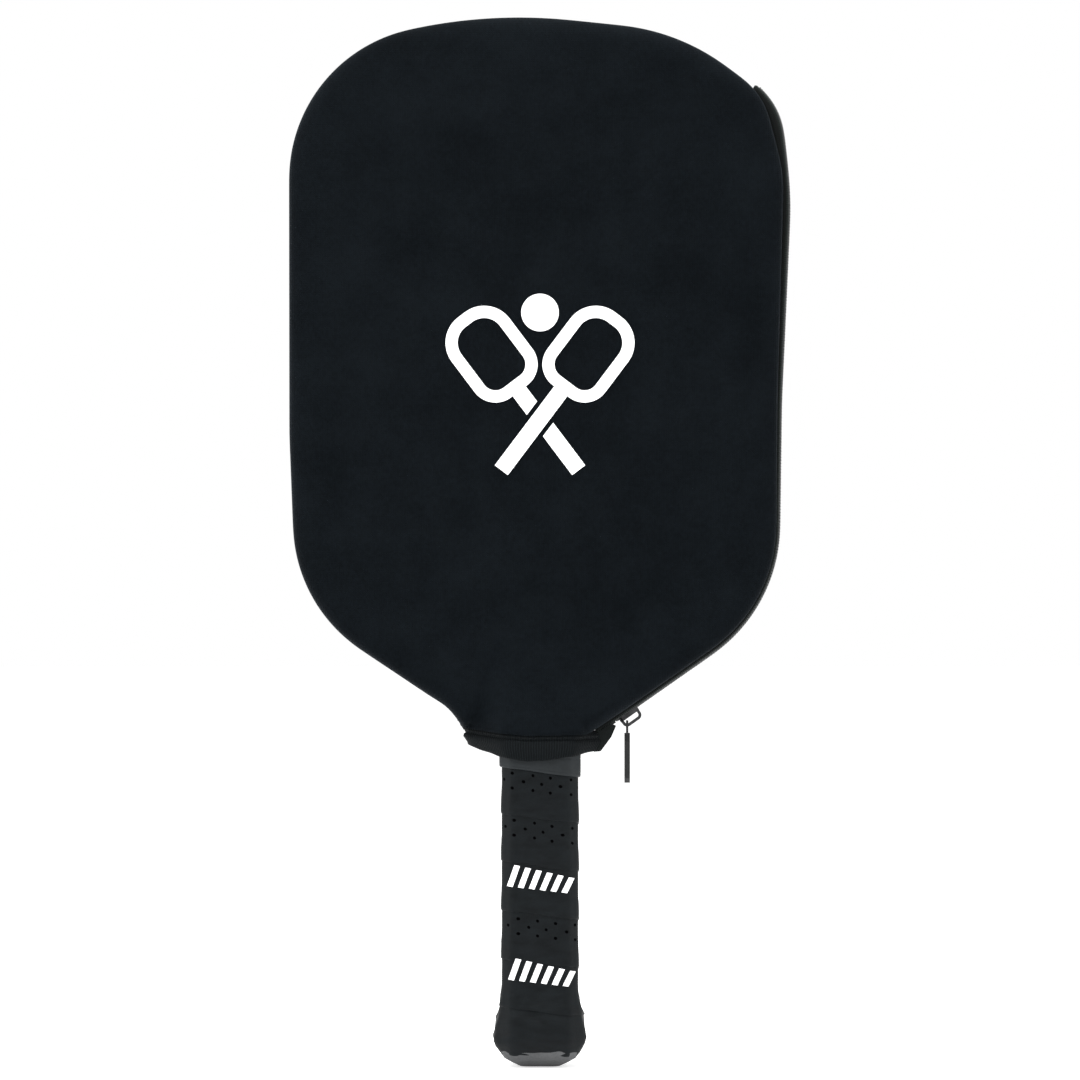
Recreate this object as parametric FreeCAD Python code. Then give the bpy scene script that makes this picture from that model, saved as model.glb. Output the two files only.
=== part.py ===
import FreeCAD, Part

import math
import os

# A soft zip cover for a racket-sport paddle, with the paddle in it and its handle out of the mouth.
# Millimetres. X points to the zip side, Y to the back, Z up from the butt end along the handle.
# The origin is the centre of the butt end, and the paddle's middle plane is Y = 0.
# Outlines are lists of corners (x, z, corner radius) in the XZ plane.

# Paddle
PADDLE_HALF_WIDTH = 92.7
CORE_HALF_DEPTH = 7.4
FACE_HALF_DEPTH = 8.0
GUARD_HALF_DEPTH = 9.0
GUARD_WALL = 1.4
GUARD_LIP = 8.0
GUARD_END_Z = 152.0
TONGUE_END_Z = 6.0
THROAT_Z = 139.4
SHOULDER_Z = 190.6

# Handle, an octagon that is a little wider than deep
GRIP_HALF_WIDTH = 15.6
GRIP_HALF_DEPTH = 14.2
GRIP_CORNER_CUT = 4.2
WRAP_THICKNESS = 0.9
BASE_GRIP_TOP_Z = 132.0
OVERGRIP_TOP_Z = 130.0
OVERGRIP_END_Z = 8.0
COLLAR_LOW_Z = 119.5
COLLAR_TOP_Z = 131.0
COLLAR_THICKNESS = 0.5
CAP_TOP_Z = 30.0

# Cover
COVER_HALF_DEPTH = 12.5
CLOTH = 3.0
POCKET_HALF_DEPTH = 9.4
SEAM_HALF_WIDTH = 0.8
RIM_Y = 6.5
MOUTH_Z = 135.0
HEAD_LOW_Z = 151.0
THROAT_TOP_Z = 172.0
BINDING_WALL = 2.2

# Zip
CHAIN_INSET = 1.2
TAPE_HALF_THICKNESS = 0.35
COIL_HALF_HEIGHT = 1.0
COIL_OUTER_Y = 1.7
COIL_INNER_Y = 0.45
SLOPE_DEG = 35.1
SLIDER_X = 35.2
SLIDER_Z = 144.0
NECK_STOP_X = (-8.2, -6.2)
STOP_HALF_WIDTH = 2.4
STOP_HALF_HEIGHT = 0.95
END_STOP_ZONE = ((82.9, 391.4, 0), (87.4, 398.4, 0), (90.0, 397.0, 0), (85.5, 390.0, 0))
PAST_END_STOP = ((82.9, 391.4, 0), (87.4, 398.4, 0), (80.0, 412.0, 0), (60.0, 400.0, 0))
END_TAB_OUTLINE = ((21.8, 127.6, 0), (24.6, 127.8, 1), (28.9, 133.6, 1), (30.8, 138.0, 0), (27.8, 139.0, 0),
                   (23.2, 135.6, 0), (21.8, 134.4, 0))

# Slider and pull, in the slider's own frame: x along the zip, z away from the outside of the cover
PLATE_OUTER = 2.5
PLATE_INNER = 1.35
PLATE_HALF_LENGTH = 4.5
NOSE_HALF_WIDTH = 4.3
NOSE_CHAMFER = 1.2
TAIL_CHAMFER = 0.3
PLATE_WAIST_X = 0.5
TAIL_HALF_WIDTH = 3.7
FLANGE_INNER_Y = 2.4
TAPE_SLOT = 0.62
POST_HALF_WIDTH = 0.35
BAIL_HEIGHT = 5.7
BAIL_WIRE = 1.2
BAIL_HALF_WIDTH = 0.75
BAIL_CORNER = 2.2
PULL_LENGTH = 23.4
PULL_HALF_WIDTH = 3.5
PULL_NECK_HALF_WIDTH = 2.0
PULL_SHOULDER = 3.2
PULL_SHOULDER_DROP = 3.5
PULL_FOOT_CHAMFER = 2.0
EYE_FOOT = 4.5
PULL_THICKNESS = 2.2
EYE_THICKNESS = 0.9
EYE_HALF_WIDTH = 1.25
EYE_HALF_WIDTH_OUTSIDE = 2.3
EYE_ABOVE_WIRE = 1.1
EYE_BELOW_WIRE = 1.9
EYE_BAR = 0.8

# Prints
PRINT_THICKNESS = 0.25
EMBLEM_FOOT_Z = 262.5
EMBLEM_TILT_DEG = 37
EMBLEM_STROKE = 4.9
EMBLEM_HANDLE_HALF_WIDTH = 3.3
EMBLEM_HANDLE_LENGTH = 26.0
EMBLEM_GAP = 1.9
EMBLEM_BALL_RADIUS = 7.6
EMBLEM_BALL_RISE = 43.0
EMBLEM_HEAD = ((-14.6, 14.0, 10.5), (-14.6, 52.7, 12.9), (14.6, 52.7, 12.9), (14.6, 14.0, 10.5))
PRINT_Z = (76.0, 36.5)
PRINT_BAR_COUNT = 5
PRINT_BAR_PITCH = 4.4
PRINT_BAR_WIDTH = 2.0
PRINT_BAR_LEAN = 1.1
PRINT_BAR_HALF_HEIGHT = 4.6
PRINT_BAR_SHORTENING = 0.35
PRINT_SLOPE = 0.17

COVER_OUTLINE = (
    (-31.0, MOUTH_Z, 0),
    (-37.4, 145.3, 16),
    (-99.0, 186.5, 62),
    (-101.7, 256.0, 200),
    (-101.9, 410.0, 62),
    (-20.0, 427.8, 205),
    (56.6, 419.9, 86),
    (90.5, 394.6, 30),
    (99.0, 362.0, 60),
    (96.4, 270.0, 300),
    (95.8, 187.2, 62),
    (35.5, 145.2, 0),
    (19.8, MOUTH_Z, 0),
)

# The same outline carried straight down past the mouth, for cutting the inside clear of it.
COVER_OUTLINE_LONG = ((-31.0, 110.0, 0),) + COVER_OUTLINE + ((19.8, 110.0, 0),)

# The zip's outer edge; the corners left of X = 70 only close the outline inside the cover.
ZIP_OUTLINE = (
    (-20.0, 104.0, 0),
    (-40.0, 200.0, 0),
    (30.0, 380.0, 0),
    (60.0, 419.0, 0),
    (95.0, 393.7, 40),
    (102.3, 360.5, 140),
    (98.2, 270.0, 300),
    (97.0, 185.9, 64),
)

# The part of the edge that the zip takes: from its end near the top corner round to the mouth.
ZIP_ZONE = (
    (74.2, 381.5, 0),
    (92.0, 405.8, 0),
    (130.0, 405.8, 0),
    (130.0, MOUTH_Z, 0),
    (16.2, MOUTH_Z, 0),
    (10.6, 142.9, 0),
    (84.0, 191.5, 0),
    (84.0, 370.0, 0),
)

# Level sections of the front half at the mouth and the throat: corners (x, y).
MOUTH_SECTION = ((-31.0, 0.0), (-31.0, -2.5), (-14.0, -17.8), (14.0, -17.8), (24.5, -6.5), (24.5, 0.0))
THROAT_SECTION = ((-85.0, 0.0), (-85.0, -8.0), (-40.0, -12.4), (40.0, -12.4), (85.0, -8.0), (85.0, 0.0))

# The rounded edge of the cover: (inset from the outline, distance from the middle plane).
COVER_EDGE = ((0.0, 8.0), (1.2, 10.6), (3.5, 12.0), (8.0, COVER_HALF_DEPTH))

# The binding's outline from the front, with its lower edge sagging.
BINDING_OUTLINE = (
    (-32.0, MOUTH_Z, 0),
    (-30.2, 130.2, 2),
    (-14.6, 125.2, 30),
    (-3.0, 123.6, 40),
    (15.0, 126.2, 30),
    (26.0, 128.9, 0),
    (26.0, MOUTH_Z, 0),
)

# The butt cap's profile: (z, half width).
CAP_PROFILE = ((0.0, 8.0), (1.5, 11.0), (3.5, 14.4), (6.0, 16.2), (8.0, 17.0), (12.5, 18.0), (17.0, 17.2),
               (24.0, 15.5), (CAP_TOP_Z, GRIP_HALF_WIDTH - WRAP_THICKNESS))
OVERGRIP_PROFILE = ((OVERGRIP_END_Z, 17.9), (12.5, 18.9), (17.0, 18.1), (24.0, 16.4),
                    (CAP_TOP_Z, GRIP_HALF_WIDTH), (OVERGRIP_TOP_Z, GRIP_HALF_WIDTH))


def vector(x, y, z):
    return FreeCAD.Vector(x, y, z)


def corner_arc(before, corner, after, radius):
    """The two tangent points and the middle point of the arc that rounds a corner."""
    to_before = (before - corner).normalize()
    to_after = (after - corner).normalize()
    half_angle = math.acos(max(-1.0, min(1.0, to_before.dot(to_after)))) / 2
    tangent = radius / math.tan(half_angle)
    bisector = (to_before + to_after).normalize()
    middle = corner + bisector * (radius / math.sin(half_angle) - radius)
    return corner + to_before * tangent, middle, corner + to_after * tangent


def outline_wire(corners):
    """A closed wire in the XZ plane from corners (x, z, radius)."""
    points = [vector(x, 0, z) for x, z, _ in corners]
    count = len(corners)
    spans = []
    for i, (_, _, radius) in enumerate(corners):
        if radius:
            spans.append(corner_arc(points[i - 1], points[i], points[(i + 1) % count], radius))
        else:
            spans.append((points[i], None, points[i]))
    edges = []
    for i, (start, middle, end) in enumerate(spans):
        if middle is not None:
            edges.append(Part.Arc(start, middle, end).toShape())
        following = spans[(i + 1) % count][0]
        if (following - end).Length > 1e-6:
            edges.append(Part.LineSegment(end, following).toShape())
    return Part.Wire(edges)


def inset_wire(corners, inset):
    wire = outline_wire(corners)
    if not inset:
        return wire
    return wire.makeOffset2D(-inset, 2)


def plate(corners, y_low, y_high, inset=0.0):
    """The region inside an outline, drawn in by inset, between two Y planes."""
    face = Part.Face(inset_wire(corners, inset))
    face.translate(vector(0, y_low, 0))
    return face.extrude(vector(0, y_high - y_low, 0))


def box(x_low, x_high, y_low, y_high, z_low, z_high):
    return Part.makeBox(x_high - x_low, y_high - y_low, z_high - z_low, vector(x_low, y_low, z_low))


def to_back(shape):
    return shape.mirror(vector(0, 0, 0), vector(0, 1, 0))


def section_wire(points, z):
    corners = [vector(x, y, z) for x, y in points]
    return Part.makePolygon(corners + corners[:1])


def prism(points, z_low, z_high):
    return Part.Face(section_wire(points, z_low)).extrude(vector(0, 0, z_high - z_low))


def octagon(half_width):
    """The handle's section at a half width, with its depth in proportion."""
    scale = half_width / GRIP_HALF_WIDTH
    half_depth = GRIP_HALF_DEPTH * scale
    if half_width < GRIP_HALF_WIDTH:
        half_depth = GRIP_HALF_DEPTH - (GRIP_HALF_WIDTH - half_width)
    cut = GRIP_CORNER_CUT * min(scale, 1.0) + max(0.0, half_width - GRIP_HALF_WIDTH)
    right = [(half_width - cut, -half_depth), (half_width, cut - half_depth),
             (half_width, half_depth - cut), (half_width - cut, half_depth)]
    left = [(-x, -y) for x, y in right]
    return right + left


def octagon_loft(profile):
    return Part.makeLoft([section_wire(octagon(half_width), z) for z, half_width in profile], True, True)


def octagon_sleeve(outer_half_width, wall, z_low, z_high):
    outer = prism(octagon(outer_half_width), z_low, z_high)
    return outer.cut(prism(octagon(outer_half_width - wall), z_low - 1, z_high + 1))


# Paddle

def paddle_outline():
    right = (
        (GRIP_HALF_WIDTH - 2 * WRAP_THICKNESS + GUARD_WALL, TONGUE_END_Z, 0),
        (GRIP_HALF_WIDTH - 2 * WRAP_THICKNESS + GUARD_WALL, THROAT_Z, 10),
        (PADDLE_HALF_WIDTH, SHOULDER_Z, 57),
        (PADDLE_HALF_WIDTH, 408.0, 58),
    )
    left = tuple((-x, z, radius) for x, z, radius in reversed(right))
    return right + ((0.0, 421.5, 230),) + left


def paddle_core():
    return plate(paddle_outline(), -CORE_HALF_DEPTH, CORE_HALF_DEPTH, GUARD_WALL)


def front_face_sheet():
    return plate(paddle_outline(), -FACE_HALF_DEPTH, -CORE_HALF_DEPTH, GUARD_WALL)


def edge_guard():
    channel = plate(paddle_outline(), -GUARD_HALF_DEPTH, GUARD_HALF_DEPTH)
    channel = channel.cut(plate(paddle_outline(), -FACE_HALF_DEPTH, FACE_HALF_DEPTH, GUARD_WALL))
    channel = channel.cut(plate(paddle_outline(), -20, 20, GUARD_LIP))
    return channel.cut(box(-120, 120, -20, 20, 0, GUARD_END_Z))


def front_handle_pallet():
    half_width = GRIP_HALF_WIDTH - 2 * WRAP_THICKNESS
    block = prism(octagon(half_width), TONGUE_END_Z + GUARD_WALL, BASE_GRIP_TOP_Z)
    return block.common(box(-40, 40, -40, -FACE_HALF_DEPTH, 0, 200))


def butt_cap():
    outer = octagon_loft(CAP_PROFILE)
    pocket = prism(octagon(GRIP_HALF_WIDTH - 2 * WRAP_THICKNESS), TONGUE_END_Z + GUARD_WALL, CAP_TOP_Z + 1)
    return outer.cut(pocket)


def base_grip():
    return octagon_sleeve(GRIP_HALF_WIDTH - WRAP_THICKNESS, WRAP_THICKNESS, CAP_TOP_Z, BASE_GRIP_TOP_Z)


def overgrip():
    outer = octagon_loft(OVERGRIP_PROFILE)
    inner = octagon_loft(CAP_PROFILE).fuse(prism(octagon(GRIP_HALF_WIDTH - WRAP_THICKNESS), 0, 200))
    return outer.cut(inner)


def grip_collar():
    sleeve = octagon_sleeve(GRIP_HALF_WIDTH + COLLAR_THICKNESS, COLLAR_THICKNESS, COLLAR_LOW_Z, COLLAR_TOP_Z)
    return sleeve.cut(prism(octagon(GRIP_HALF_WIDTH), 0, OVERGRIP_TOP_Z))


# Cover

def drawn_in(section, shrink):
    """A half section of the mouth or throat, drawn in by a wall's thickness."""
    points = []
    for x, y in section:
        points.append((math.copysign(abs(x) - shrink, x), min(-SEAM_HALF_WIDTH, y + shrink) if y else 0.0))
    return points


def throat(shrink, z_low):
    """The solid that narrows from the head of the cover to the mouth, drawn in by shrink."""
    mouth = drawn_in(MOUTH_SECTION, shrink)
    top = drawn_in(THROAT_SECTION, shrink)
    solid = Part.makeLoft([section_wire(mouth, MOUTH_Z), section_wire(top, THROAT_TOP_Z)], True, True)
    if z_low < MOUTH_Z:
        solid = solid.fuse(prism(mouth, z_low, MOUTH_Z))
    return solid.common(plate(COVER_OUTLINE_LONG, -30, 0, shrink))


def cover_front():
    """The front half of the cover as a solid, before it is hollowed."""
    wires = []
    for inset, depth in COVER_EDGE:
        wire = inset_wire(COVER_OUTLINE_LONG, inset)
        wire.translate(vector(0, -depth, 0))
        wires.append(wire)
    head = Part.makeLoft(wires, True, True).fuse(plate(COVER_OUTLINE_LONG, -COVER_EDGE[0][1], 0))
    head = head.cut(box(-120, 120, -40, 40, 100, HEAD_LOW_Z))
    return head.fuse(throat(0.0, MOUTH_Z)).removeSplitter()


def front_panel():
    pocket = plate(COVER_OUTLINE, -POCKET_HALF_DEPTH, 1, CLOTH)
    shell = cover_front().cut(pocket).cut(throat(CLOTH - 0.5, 120.0))
    shell = shell.cut(box(-120, 120, -SEAM_HALF_WIDTH, 5, 100, 440))
    return shell.cut(plate(ZIP_ZONE, -RIM_Y, 5))


def side_seam():
    strip = plate(COVER_OUTLINE, -SEAM_HALF_WIDTH, SEAM_HALF_WIDTH, 0.6)
    strip = strip.cut(plate(COVER_OUTLINE_LONG, -5, 5, CLOTH))
    return strip.cut(plate(ZIP_ZONE, -5, 5))


def front_neck_binding():
    ring = prism(MOUTH_SECTION, 115, MOUTH_Z)
    ring = ring.cut(prism(drawn_in(MOUTH_SECTION, BINDING_WALL), 110, MOUTH_Z + 1))
    ring = ring.common(plate(BINDING_OUTLINE, -30, -SEAM_HALF_WIDTH / 2))
    return ring.cut(box(15, 40, -RIM_Y, 5, 100, 150))


# Zip

def along_zip(outer_inset, inner_inset, y_low, y_high):
    """The band between two insets of the zip's outer edge, over the zip's stretch."""
    band = plate(ZIP_OUTLINE, y_low, y_high, outer_inset)
    band = band.cut(plate(ZIP_OUTLINE, y_low - 1, y_high + 1, inner_inset))
    return band.common(plate(ZIP_ZONE, y_low, y_high))


def front_zip_tape():
    outer_face = CHAIN_INSET - TAPE_HALF_THICKNESS
    web = along_zip(outer_face, CHAIN_INSET + TAPE_HALF_THICKNESS, -RIM_Y, -COIL_OUTER_Y)
    flange = plate(ZIP_OUTLINE, -RIM_Y, 1 - RIM_Y, outer_face).common(plate(ZIP_ZONE, -RIM_Y, 1 - RIM_Y))
    flange = flange.cut(plate(COVER_OUTLINE_LONG, -20, 20, CLOTH))
    return web.fuse(flange).removeSplitter().cut(stops_clearance())


def front_zip_coil():
    outer_inset = CHAIN_INSET - COIL_HALF_HEIGHT
    inner_inset = CHAIN_INSET + COIL_HALF_HEIGHT
    coil = along_zip(outer_inset, inner_inset, -COIL_OUTER_Y, -COIL_INNER_Y)
    past_neck_stop = slider_place(box(-40, NECK_STOP_X[1], -5, 5, -5, 5))
    past_end_stop = plate(PAST_END_STOP, -5, 5)
    return coil.cut(end_stop_space()).cut(past_neck_stop).cut(past_end_stop)


def slider_place(shape):
    """Move a shape from the slider's own frame to its place on the slope."""
    shape.rotate(vector(0, 0, 0), vector(0, 1, 0), -SLOPE_DEG)
    shape.translate(vector(SLIDER_X, 0, SLIDER_Z))
    return shape


def neck_stop_space():
    return slider_place(box(NECK_STOP_X[0], NECK_STOP_X[1], -STOP_HALF_WIDTH, STOP_HALF_WIDTH, -1.3, 1.3))


def end_stop_space():
    band = plate(ZIP_OUTLINE, -STOP_HALF_WIDTH, STOP_HALF_WIDTH, CHAIN_INSET - STOP_HALF_HEIGHT)
    band = band.cut(plate(ZIP_OUTLINE, -5, 5, CHAIN_INSET + STOP_HALF_HEIGHT))
    return band.common(plate(END_STOP_ZONE, -5, 5))


def stops_clearance():
    return neck_stop_space().fuse(end_stop_space())


def zip_neck_stops():
    """The two stops at the mouth end, one on each tape."""
    return neck_stop_space().cut(box(0, 60, -0.3, 0.3, 100, 160))


def zip_end_tab():
    """The tapes' ends, folded over the right side of the mouth."""
    tab = plate(END_TAB_OUTLINE, -RIM_Y + 0.3, RIM_Y - 0.3)
    return tab.cut(front_zip_tape()).cut(to_back(front_zip_tape())).cut(front_zip_coil()).cut(
        to_back(front_zip_coil())).cut(neck_stop_space())


# Slider and pull

def plate_outline(z_low, z_high):
    nose = -PLATE_HALF_LENGTH
    tail = PLATE_HALF_LENGTH
    upper = ((tail, TAIL_HALF_WIDTH - TAIL_CHAMFER), (PLATE_WAIST_X, NOSE_HALF_WIDTH),
             (nose + NOSE_CHAMFER, NOSE_HALF_WIDTH), (nose, NOSE_HALF_WIDTH - NOSE_CHAMFER))
    lower = tuple((x, -y) for x, y in reversed(upper))
    return prism(lower + upper, z_low, z_high)


def slider_body():
    body = plate_outline(-PLATE_OUTER, PLATE_OUTER)
    channel = box(-10, 10, -FLANGE_INNER_Y, FLANGE_INNER_Y, -PLATE_INNER, PLATE_INNER)
    slot = box(-10, 10, -10, 10, -TAPE_SLOT, TAPE_SLOT)
    post = box(-PLATE_HALF_LENGTH + 0.4, -1.4, -POST_HALF_WIDTH, POST_HALF_WIDTH, -PLATE_OUTER, PLATE_OUTER)
    return slider_place(body.cut(channel).cut(slot).fuse(post).removeSplitter())


def bail_wire_outline(inset):
    low = -BAIL_HEIGHT + inset
    side = PLATE_HALF_LENGTH - 0.1 - inset
    radius = BAIL_CORNER - inset
    return ((-side, -PLATE_OUTER + inset, 0), (-side, low, radius), (side, low, radius),
            (side, -PLATE_OUTER + inset, 0))


def slider_bail():
    outer = plate(bail_wire_outline(0.0), -BAIL_HALF_WIDTH, BAIL_HALF_WIDTH)
    opening_half = PLATE_HALF_LENGTH - 0.1 - BAIL_WIRE
    opening = plate(bail_wire_outline(BAIL_WIRE), -2, 2)
    opening = opening.fuse(box(-opening_half, opening_half, -2, 2, -PLATE_OUTER - 1.2, -PLATE_OUTER + 1))
    return slider_place(outer.cut(opening))


def pull_pivot():
    """The centre of the bail's lower corner: the pull's eye slides round that corner as the pull swings."""
    slope = math.radians(SLOPE_DEG)
    along = -(PLATE_HALF_LENGTH - 0.1 - BAIL_CORNER)
    out = BAIL_HEIGHT - BAIL_CORNER
    x = SLIDER_X + along * math.cos(slope) + out * math.sin(slope)
    z = SLIDER_Z + along * math.sin(slope) - out * math.cos(slope)
    return x, z


def pull_tab():
    """A flat blade hanging from the bail, with a thinner eye round the wire."""
    x, pivot_z = pull_pivot()
    wire_z = pivot_z - (BAIL_CORNER - BAIL_WIRE / 2)
    eye = box(x - EYE_THICKNESS / 2, x + EYE_THICKNESS / 2, -EYE_HALF_WIDTH_OUTSIDE, EYE_HALF_WIDTH_OUTSIDE,
              wire_z - EYE_FOOT, wire_z + EYE_ABOVE_WIRE + EYE_BAR)
    shoulder_z = wire_z - PULL_SHOULDER
    foot_z = wire_z - PULL_LENGTH
    right = ((PULL_NECK_HALF_WIDTH, shoulder_z), (PULL_HALF_WIDTH, shoulder_z - PULL_SHOULDER_DROP),
             (PULL_HALF_WIDTH, foot_z + PULL_FOOT_CHAMFER), (PULL_HALF_WIDTH - PULL_FOOT_CHAMFER, foot_z))
    left = tuple((-y, z) for y, z in reversed(right))
    corners = [vector(x - PULL_THICKNESS / 2, y, z) for y, z in right + left]
    blade = Part.Face(Part.makePolygon(corners + corners[:1])).extrude(vector(PULL_THICKNESS, 0, 0))
    hole_low = wire_z - EYE_BELOW_WIRE
    hole_high = wire_z + EYE_ABOVE_WIRE
    hole = box(x - 5, x + 5, -EYE_HALF_WIDTH, EYE_HALF_WIDTH, hole_low, hole_high)
    return blade.fuse(eye).cut(hole).removeSplitter()


# Prints

def emblem_turned(shape, sign):
    shape.rotate(vector(0, 0, 0), vector(0, 1, 0), sign * EMBLEM_TILT_DEG)
    return shape


def emblem_paddle(sign, grow):
    """One small paddle sign, turned about the emblem's foot and grown by a margin."""
    half_width = EMBLEM_HANDLE_HALF_WIDTH + grow
    handle = box(-half_width, half_width, -5, 5, -EMBLEM_HANDLE_LENGTH - grow, EMBLEM_HEAD[0][1] + 1)
    return emblem_turned(plate(EMBLEM_HEAD, -5, 5, -grow).fuse(handle).removeSplitter(), sign)


def front_emblem():
    """Two crossed paddles and a ball, as flat shapes printed on the front."""
    right = emblem_paddle(1, 0.0)
    left = emblem_paddle(-1, 0.0).cut(emblem_paddle(1, EMBLEM_GAP))
    for sign in (1, -1):
        face = emblem_turned(plate(EMBLEM_HEAD, -6, 6, EMBLEM_STROKE), sign)
        right = right.cut(face)
        left = left.cut(face)
    ball = Part.makeCylinder(EMBLEM_BALL_RADIUS, 10, vector(0, -5, EMBLEM_BALL_RISE), vector(0, 1, 0))
    art = Part.makeCompound([right, left, ball])
    art.translate(vector(0, -COVER_HALF_DEPTH, EMBLEM_FOOT_Z))
    sheet = box(-60, 60, -COVER_HALF_DEPTH - PRINT_THICKNESS, -COVER_HALF_DEPTH, 200, 360)
    return art.common(sheet)


def print_bar(x, z, half_height):
    """A slanted bar on the handle's front face, its middle at (x, z)."""
    half_width = PRINT_BAR_WIDTH / 2
    corners = ((-half_width - PRINT_BAR_LEAN, -half_height), (half_width - PRINT_BAR_LEAN, -half_height),
               (half_width + PRINT_BAR_LEAN, half_height), (PRINT_BAR_LEAN - half_width, half_height))
    points = [vector(x + across, -GRIP_HALF_DEPTH, z + up) for across, up in corners]
    return Part.Face(Part.makePolygon(points + points[:1])).extrude(vector(0, -PRINT_THICKNESS, 0))


def grip_print():
    """Slanted bars printed on two turns of the overgrip."""
    bars = []
    for z in PRINT_Z:
        for i in range(PRINT_BAR_COUNT):
            x = (i - (PRINT_BAR_COUNT - 1) / 2) * PRINT_BAR_PITCH
            bars.append(print_bar(x, z - PRINT_SLOPE * x, PRINT_BAR_HALF_HEIGHT - PRINT_BAR_SHORTENING * i))
    return Part.makeCompound(bars)


FRONT_AND_BACK = {
    "panel": front_panel,
    "neck_binding": front_neck_binding,
    "zip_tape": front_zip_tape,
    "zip_coil": front_zip_coil,
    "face_sheet": front_face_sheet,
    "handle_pallet": front_handle_pallet,
}

SINGLE = {
    "side_seam": side_seam,
    "zip_end_stop": end_stop_space,
    "zip_neck_stops": zip_neck_stops,
    "zip_end_tab": zip_end_tab,
    "slider_body": slider_body,
    "slider_bail": slider_bail,
    "pull_tab": pull_tab,
    "front_emblem": front_emblem,
    "paddle_core": paddle_core,
    "edge_guard": edge_guard,
    "butt_cap": butt_cap,
    "base_grip": base_grip,
    "overgrip": overgrip,
    "grip_collar": grip_collar,
    "grip_print": grip_print,
}


def main():
    os.makedirs("parts", exist_ok=True)
    for name, make in FRONT_AND_BACK.items():
        shape = make()
        shape.exportStep("parts/front_" + name + ".step")
        to_back(shape).exportStep("parts/back_" + name + ".step")
    for name, make in SINGLE.items():
        make().exportStep("parts/" + name + ".step")


main()
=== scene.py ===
import math

import bmesh
import bpy
import numpy as np
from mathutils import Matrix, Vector
from mathutils.bvhtree import BVHTree


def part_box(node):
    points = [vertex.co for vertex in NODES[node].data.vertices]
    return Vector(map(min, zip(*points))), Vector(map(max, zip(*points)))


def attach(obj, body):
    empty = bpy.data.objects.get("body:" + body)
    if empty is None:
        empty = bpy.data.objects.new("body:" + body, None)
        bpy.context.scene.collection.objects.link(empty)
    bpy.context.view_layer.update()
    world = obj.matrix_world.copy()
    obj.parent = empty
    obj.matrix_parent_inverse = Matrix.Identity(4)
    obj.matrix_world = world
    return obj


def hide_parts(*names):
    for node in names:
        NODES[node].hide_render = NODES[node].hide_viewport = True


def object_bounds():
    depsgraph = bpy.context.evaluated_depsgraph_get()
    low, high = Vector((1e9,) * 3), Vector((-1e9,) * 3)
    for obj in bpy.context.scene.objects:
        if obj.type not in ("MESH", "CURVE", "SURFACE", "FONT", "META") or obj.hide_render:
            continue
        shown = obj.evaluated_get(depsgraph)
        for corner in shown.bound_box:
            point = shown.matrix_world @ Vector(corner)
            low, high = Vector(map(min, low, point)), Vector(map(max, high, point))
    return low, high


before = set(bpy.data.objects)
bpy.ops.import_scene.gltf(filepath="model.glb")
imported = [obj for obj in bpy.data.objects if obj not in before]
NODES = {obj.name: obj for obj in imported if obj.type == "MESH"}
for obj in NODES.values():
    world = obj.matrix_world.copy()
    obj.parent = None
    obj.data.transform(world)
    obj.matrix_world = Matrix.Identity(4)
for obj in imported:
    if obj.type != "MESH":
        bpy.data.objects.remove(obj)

# A zip cover of knit-faced neoprene with the paddle in it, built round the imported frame. Metres.
# X points to the zip side, Y to the back and Z up. "Depth" is the distance from the plane Y = 0.

MM = 0.001
CAD_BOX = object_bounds()
FRONT, BACK = -1.0, 1.0
SIDE_NAMES = {FRONT: "front", BACK: "back"}

# Neoprene panels
CLOTH = 3.0 * MM
OUTLINE_STEP = 1.6 * MM
RELAX_STEPS = 500
GRID_STEP = 2.0 * MM
HELD_BAND = 8.0 * MM
EASE_STEPS = 8
CLEARANCE = 0.4 * MM
# The rolled edge, from the sewn lip outwards and over: (inset from the outline, share of the way
# from the lip's depth to the panel's depth).
SEAM_ROLL = ((2.6, 0.0), (1.5, 0.01), (0.7, 0.06), (0.15, 0.19), (0.0, 0.36), (0.25, 0.55), (0.9, 0.72),
             (2.1, 0.85), (4.0, 0.935), (6.5, 0.98), (10.0, 1.0))
ZIP_ROLL = ((3.4, 0.0), (2.0, 0.0), (1.0, 0.02), (0.45, 0.09), (0.2, 0.22), (0.3, 0.38), (0.9, 0.57),
            (2.1, 0.76), (4.0, 0.9), (6.5, 0.97), (10.0, 1.0))
LIP_RINGS = 4
MOUTH_PROUD = 0.5 * MM
# How far the panels' lower edge hangs above or below the frame's level mouth: (share across, rise).
MOUTH_SAG = ((0.0, 2.4), (0.12, 1.5), (0.3, 0.3), (0.5, -0.6), (0.75, -0.45), (1.0, -0.2))
SAG_FADE = 16.0 * MM
SEAM_LIP_DEPTH = 0.45 * MM
ZIP_LIP_DEPTH = 6.9 * MM
INNER_RINGS = 15

# Zip
TAPE_THICKNESS = 0.5 * MM
COIL_PITCH = 1.25 * MM
COIL_WIRE = 0.33 * MM
COIL_SWING = 0.8 * MM
ZIP_SWELL = 0.4 * MM
END_BULGE = 1.2 * MM
END_BULGE_AT = 13.0 * MM
END_BULGE_REACH = 14.0 * MM
STITCH_PITCH = 2.4 * MM

# Overgrip
WRAP_PITCH = 19.6 * MM
WRAP_FOOT = 2.4 * MM
WRAP_TUCK = 0.9 * MM
TUCK_DEPTH = 0.6 * MM
FOOT_FADE = 4.0 * MM
WRAP_STEPS = 120
HOLE_SPACING = 7.3
HOLE_START = 9.6
HOLE_ROW_GAP = 3.0
HOLE_RADIUS = 0.62


# Measuring the frame

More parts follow.
